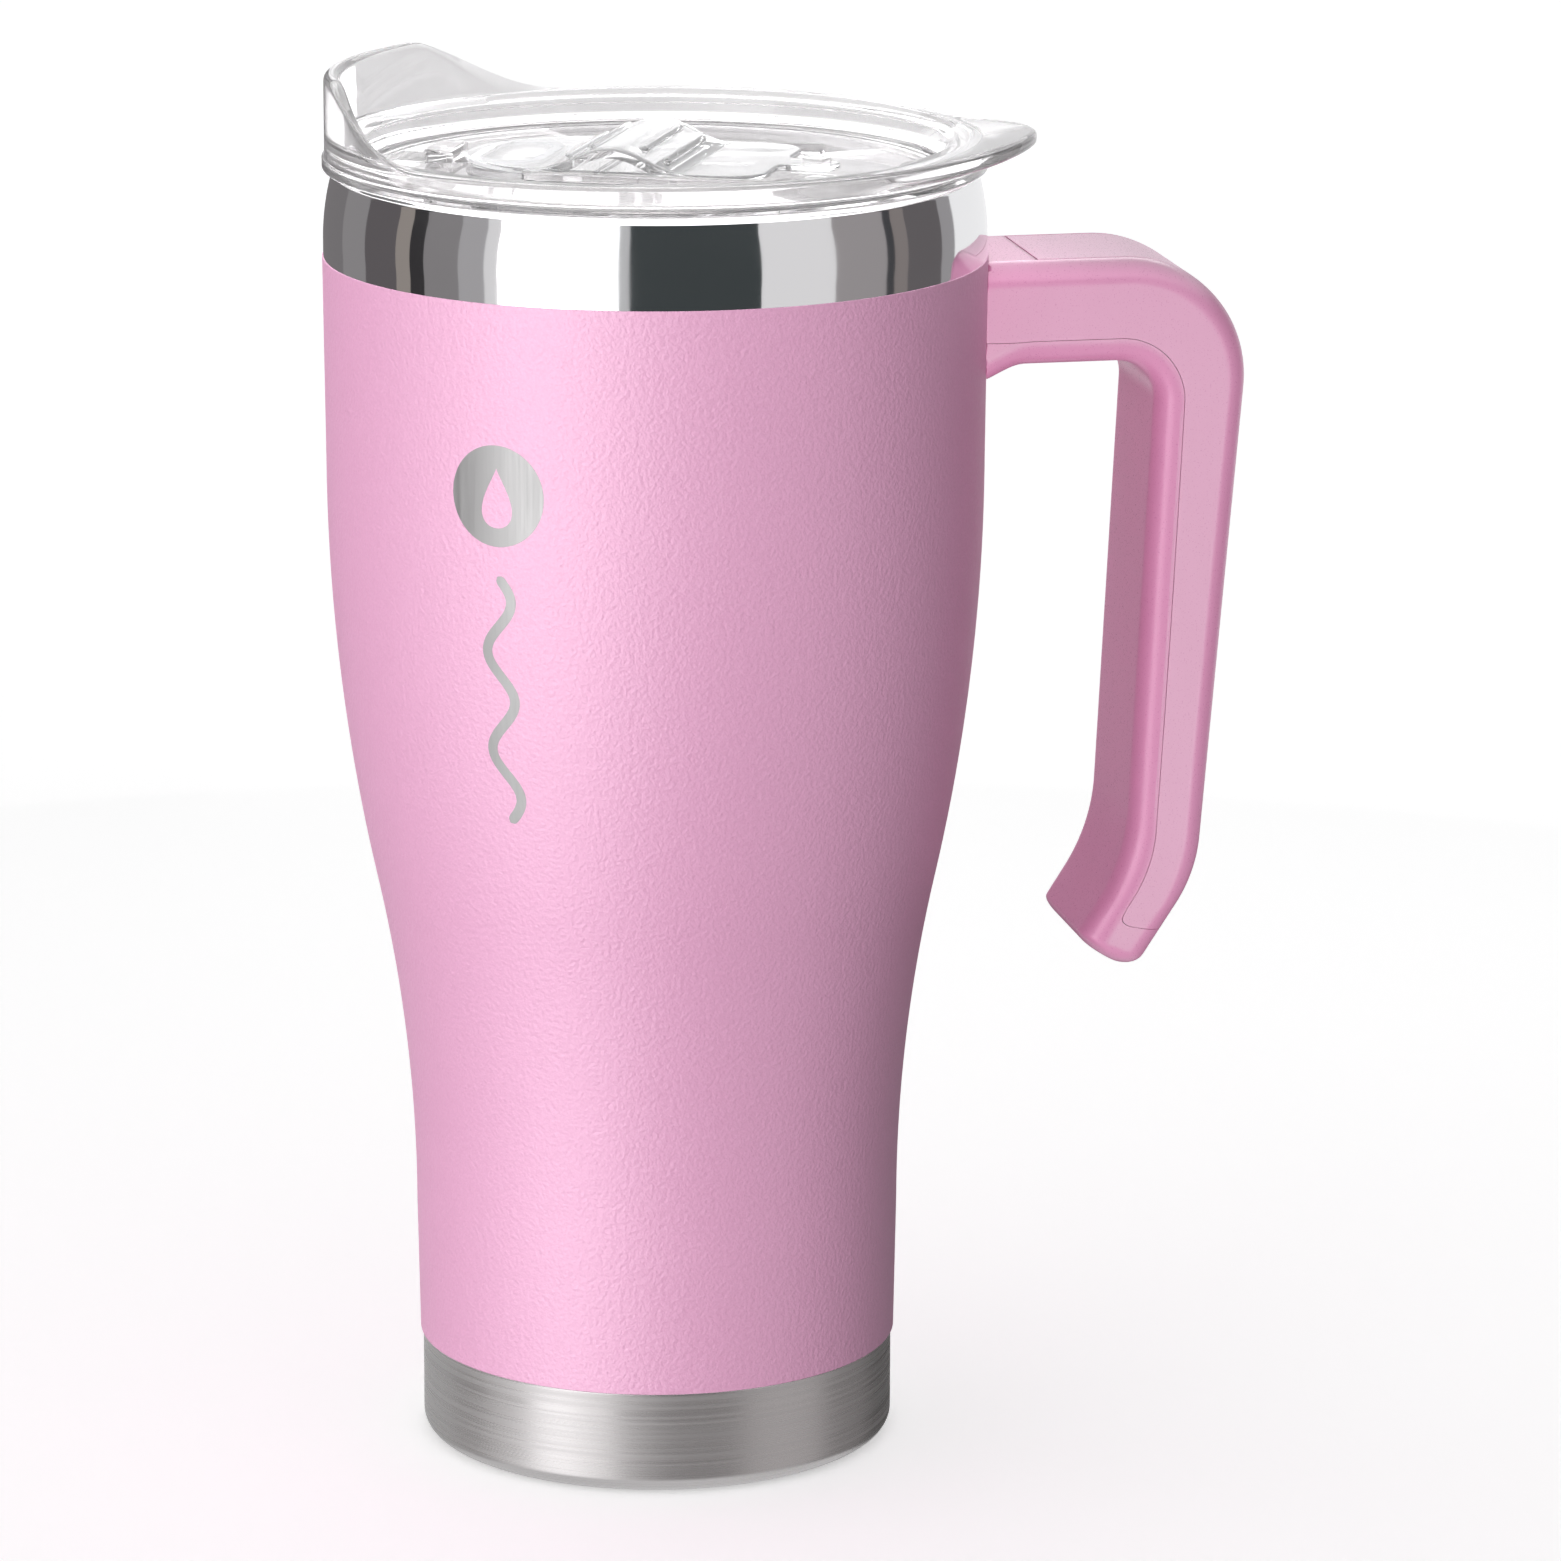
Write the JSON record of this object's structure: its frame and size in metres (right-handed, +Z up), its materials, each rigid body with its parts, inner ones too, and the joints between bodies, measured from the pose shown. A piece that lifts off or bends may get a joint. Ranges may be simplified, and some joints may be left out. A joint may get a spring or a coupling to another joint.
{
  "type": "insulated tumbler with lid",
  "caption": "Double-wall vacuum tumbler, powder coated over steel, with an open hook handle and a clear press-in lid with splash guard, thumb tab and sliding closure.",
  "frame": {"origin": "centre of the foot ring, on the surface the tumbler stands on", "axes": "+Z up along the cup's axis, +X from the axis towards the handle"},
  "size_m": [0.1398, 0.1008, 0.213],
  "materials": {
    "polished_steel": "mirror polished stainless steel",
    "brushed_steel": "fine circumferential brushing",
    "liner_steel": "satin electropolished",
    "plain_steel": "bright zinc and mill finish",
    "copper_foil": "bright foil",
    "getter_metal": "dark sintered",
    "seal_glass": "dark fused solder glass",
    "pink_powder_coat": "fine orange-peel satin powder coat",
    "pink_handle_plastic": "satin moulded",
    "clear_plastic": "clear gloss copolyester",
    "clear_silicone": "translucent silicone"
  },
  "bodies": {
    "cup": {"inner_liner": "liner_steel", "outer_wall": "polished_steel", "base_cup": "brushed_steel", "bottom_cover": "brushed_steel", "vacuum_plug": "seal_glass", "getter": "getter_metal", "getter_clip": "plain_steel", "radiation_foil": "copper_foil", "powder_coat": "pink_powder_coat", "handle_bracket": "plain_steel", "bracket_screws": "plain_steel", "handle_inner_shell": "pink_handle_plastic", "handle_outer_shell": "pink_handle_plastic", "shell_screws": "plain_steel", "handle_cover": "pink_handle_plastic"},
    "gasket": {"lid_gasket": "clear_silicone"},
    "lid": {"lid_body": "clear_plastic"},
    "slider": {"slider": "clear_plastic", "slider_seal": "clear_silicone", "slider_retainer": "clear_plastic"}
  },
  "joints": [
    {"name": "lid_lift", "type": "slide", "parent": "cup", "child": "gasket", "axis": [0, 0, 1], "range_m": [0, 0.06]},
    {"name": "lid_turn", "type": "hinge", "parent": "gasket", "child": "lid", "pos_m": [0, 0, 0.2], "axis": [0, 0, 1], "continuous": true},
    {"name": "slider_slide", "type": "slide", "parent": "lid", "child": "slider", "axis": [0.9063, -0.4226, 0], "range_m": [0, 0.012]}
  ]
}
